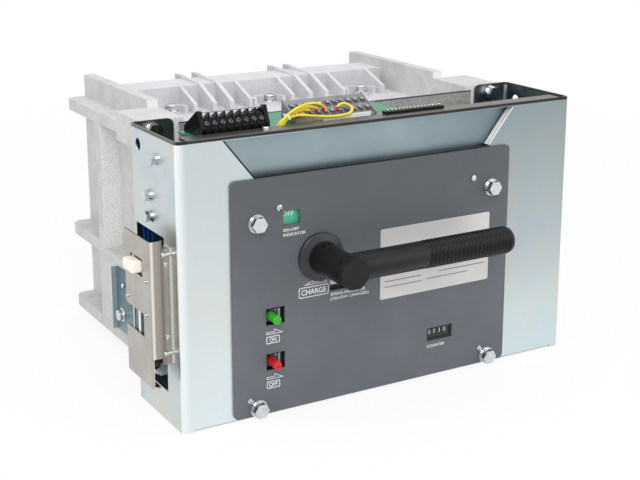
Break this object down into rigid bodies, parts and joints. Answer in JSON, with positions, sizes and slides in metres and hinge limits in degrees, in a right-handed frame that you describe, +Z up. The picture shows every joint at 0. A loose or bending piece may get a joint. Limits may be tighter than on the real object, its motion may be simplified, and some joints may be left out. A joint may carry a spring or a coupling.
{
  "type": "fixed vacuum circuit breaker",
  "caption": "Bench-size fixed vacuum circuit breaker: moulded pole frame with a zinc-plated mechanism housing, dark fascia, charging handle and on and off levers.",
  "frame": {"origin": "middle of the base bolt holes, on the plane that the breaker rests on", "axes": "+Z up, -Y towards the operator who faces the fascia, +X to that operator's right"},
  "size_m": [0.5804, 0.497, 0.353],
  "materials": {
    "zinc_plated_steel": "bright zinc-plated sheet",
    "fascia_enamel": "satin dark grey enamel",
    "silver_label": "matt silver label stock",
    "bright_bolts": "bright plated",
    "black_bush": "satin black moulding",
    "shaft_steel": "ground steel",
    "black_handle": "satin black",
    "green_peg": "gloss green",
    "red_peg": "gloss red",
    "green_flag": "matt green",
    "white_flag": "matt white",
    "counter_black": "matt black",
    "galvanised_plate": "spangled galvanised sheet",
    "board_green": "solder-masked board",
    "brass_post": "turned brass",
    "terminal_black": "moulded black",
    "rack_grey": "moulded grey",
    "lead_yellow": "yellow insulation",
    "lead_blue": "blue insulation",
    "interlock_stainless": "satin stainless sheet",
    "knob_cream": "cream moulding",
    "channel_zinc": "blue-passivated zinc",
    "frame_moulding": "speckled grey moulding compound",
    "deck_moulding": "pale lilac-grey moulding compound",
    "post_resin": "red-brown resin",
    "bottle_ceramic": "white glaze",
    "bottle_metal": "satin stainless",
    "terminal_copper": "plain copper"
  },
  "bodies": {
    "root": {"housing": "zinc_plated_steel", "housing_wing_left": "zinc_plated_steel", "housing_wing_right": "zinc_plated_steel", "recess_panel": "zinc_plated_steel", "fascia": "fascia_enamel", "nameplate": "silver_label", "fascia_bolts": "bright_bolts", "flange_bolts": "bright_bolts", "side_bolts": "bright_bolts", "shaft_bush": "black_bush", "lever_guide": "zinc_plated_steel", "indicator_flag": "green_flag", "spring_flag": "white_flag", "counter": "counter_black", "mechanism_back_plate": "galvanised_plate", "mechanism_cheeks": "zinc_plated_steel", "control_tray": "zinc_plated_steel", "control_board": "board_green", "board_posts": "brass_post", "terminal_block": "terminal_black", "terminal_rack": "rack_grey", "edge_strip": "terminal_black", "control_leads": "lead_yellow", "side_leads": "lead_blue", "interlock_angle": "interlock_stainless", "interlock_plate": "interlock_stainless", "interlock_slide": "shaft_steel", "interlock_knob": "knob_cream", "side_channel_left": "channel_zinc", "side_channel_right": "channel_zinc", "side_wall_left": "frame_moulding", "side_wall_right": "frame_moulding", "top_deck": "deck_moulding", "bottom_deck": "deck_moulding", "front_wall": "frame_moulding", "phase_barrier_left": "frame_moulding", "phase_barrier_right": "frame_moulding", "post_insulators": "post_resin", "interrupter_bodies": "bottle_ceramic", "interrupter_ends": "bottle_metal", "upper_terminals": "terminal_copper", "lower_terminals": "terminal_copper"},
    "handle": {"charging_shaft": "shaft_steel", "handle_hub": "black_handle", "handle_grip": "black_handle"},
    "on_lever": {"on_lever": "green_peg"},
    "off_lever": {"off_lever": "red_peg"}
  },
  "joints": [
    {"name": "handle_swing", "type": "hinge", "parent": "root", "child": "handle", "pos_m": [-0.094, -0.313, 0.18], "axis": [0, 1, 0], "range_deg": [-45, 45]},
    {"name": "on_press", "type": "slide", "parent": "root", "child": "on_lever", "axis": [1, 0, 0], "range_m": [0, 0.008], "stiffness_N_per_m": 300},
    {"name": "off_press", "type": "slide", "parent": "root", "child": "off_lever", "axis": [1, 0, 0], "range_m": [0, 0.008], "stiffness_N_per_m": 300}
  ]
}
